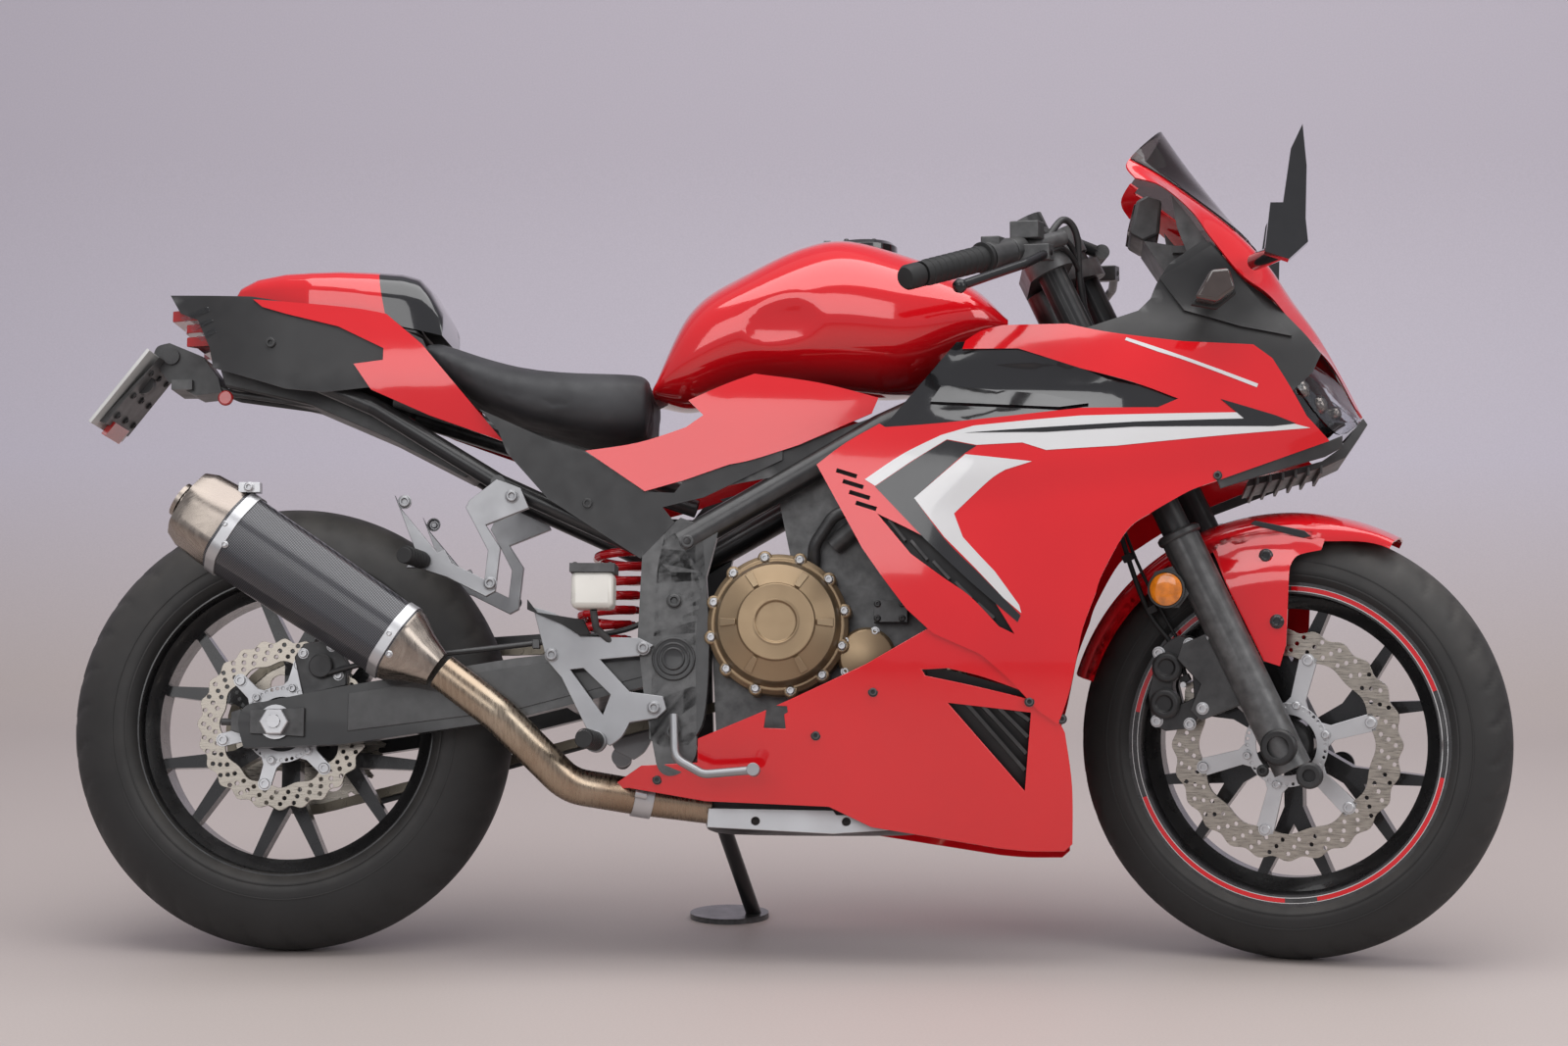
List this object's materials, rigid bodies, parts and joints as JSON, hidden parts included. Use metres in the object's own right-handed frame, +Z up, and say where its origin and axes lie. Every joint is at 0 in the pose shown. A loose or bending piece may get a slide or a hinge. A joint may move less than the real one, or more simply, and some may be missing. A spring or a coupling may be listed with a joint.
{
  "type": "sport motorcycle on its side stand",
  "caption": "Full-faired sport motorcycle leaning on its side stand, bars turned right; wheels turn, fork steers and the side stand folds.",
  "frame": {"origin": "on the ground, at the middle of the bike's box", "axes": "+X forward, +Y to the rider's left, +Z up; the bike leans towards +Y on its stand"},
  "size_m": [2.0128, 0.7718, 1.1575],
  "materials": {
    "red_paint": "gloss clear-coated red",
    "tank_paint": "gloss clear-coated red",
    "black_plastic": "fine-grained black moulding",
    "black_gloss": "gloss black",
    "black_frame": "satin black powder coat",
    "black_casting": "satin black cast alloy",
    "bronze_casting": "bronze-painted cast covers",
    "silver_casting": "bead-blasted alloy",
    "rim_black": "black cast rim with a rim stripe",
    "disc_steel": "brushed steel",
    "exhaust_steel": "heat-tinted steel",
    "carbon": "dark woven sleeve",
    "cap_metal": "smoky brushed end caps",
    "tyre": "treaded rubber",
    "rubber": "moulded rubber",
    "seat_cover": "matte dark grey seat cover",
    "smoke_screen": "smoke-tinted clear screen",
    "lamp_glass": "clear lamp lens over a bright reflector",
    "red_lens": "red lens",
    "amber_lens": "amber lens",
    "mirror_black": "black mirror shell",
    "fluid_plastic": "translucent reservoir",
    "plate_blank": "blank number plate",
    "chain_steel": "oiled chain steel"
  },
  "bodies": {
    "root": {"frame": "black_frame", "subframe": "black_frame", "swingarm": "black_frame", "engine": "black_casting", "engine_covers": "bronze_casting", "exhaust_headers": "exhaust_steel", "link_pipe": "exhaust_steel", "silencer_sleeve": "carbon", "silencer_caps": "cap_metal", "side_fairings": "red_paint", "belly_cowls": "black_plastic", "duct_panels": "black_plastic", "flank_covers": "red_paint", "frame_covers": "black_plastic", "tail_panels": "red_paint", "fuel_tank": "tank_paint", "rider_seat": "seat_cover", "passenger_seat": "seat_cover", "undertail_tray": "black_plastic", "tail_lamp": "red_lens", "plate_hanger": "black_plastic", "number_plate": "plate_blank", "nose_cowl": "red_paint", "nose_side_panels": "black_gloss", "windscreen": "smoke_screen", "headlamps": "lamp_glass", "radiator": "black_casting", "mirrors": "mirror_black", "turn_signals": "amber_lens", "instrument_panel": "black_plastic", "rider_pegs": "silver_casting", "passenger_pegs": "silver_casting", "brake_reservoir": "fluid_plastic", "rear_caliper": "black_casting", "drive_chain": "chain_steel", "chain_guard": "black_plastic"},
    "fork": {"fork_legs": "black_casting", "yokes": "black_casting", "handlebars": "black_casting", "grips": "rubber", "hand_levers": "black_casting", "front_fender": "red_paint", "front_caliper": "black_casting"},
    "front_wheel": {"front_rim": "rim_black", "front_tyre": "tyre", "front_disc": "disc_steel"},
    "rear_wheel": {"rear_rim": "rim_black", "rear_disc": "disc_steel", "rear_tyre": "tyre", "rear_sprocket": "chain_steel"},
    "side_stand": {"side_stand": "black_frame"}
  },
  "joints": [
    {"name": "steering", "type": "hinge", "parent": "root", "child": "fork", "pos_m": [0.40332, -0.01246, 0.85121], "axis": [-0.432, 0.1877, 0.8821], "range_deg": [-16, 48]},
    {"name": "front_wheel_spin", "type": "hinge", "parent": "fork", "child": "front_wheel", "pos_m": [0.71428, -0.14037, 0.29917], "axis": [0.2489, 0.9649, -0.0834], "continuous": true},
    {"name": "rear_wheel_spin", "type": "hinge", "parent": "root", "child": "rear_wheel", "pos_m": [-0.69444, -0.12775, 0.30693], "axis": [0.0004, 0.9781, -0.2079], "continuous": true},
    {"name": "side_stand_fold", "type": "hinge", "parent": "root", "child": "side_stand", "pos_m": [-0.10926, -0.02505, 0.20433], "axis": [0.0926, 0.8447, 0.5271], "range_deg": [0, 88]}
  ]
}
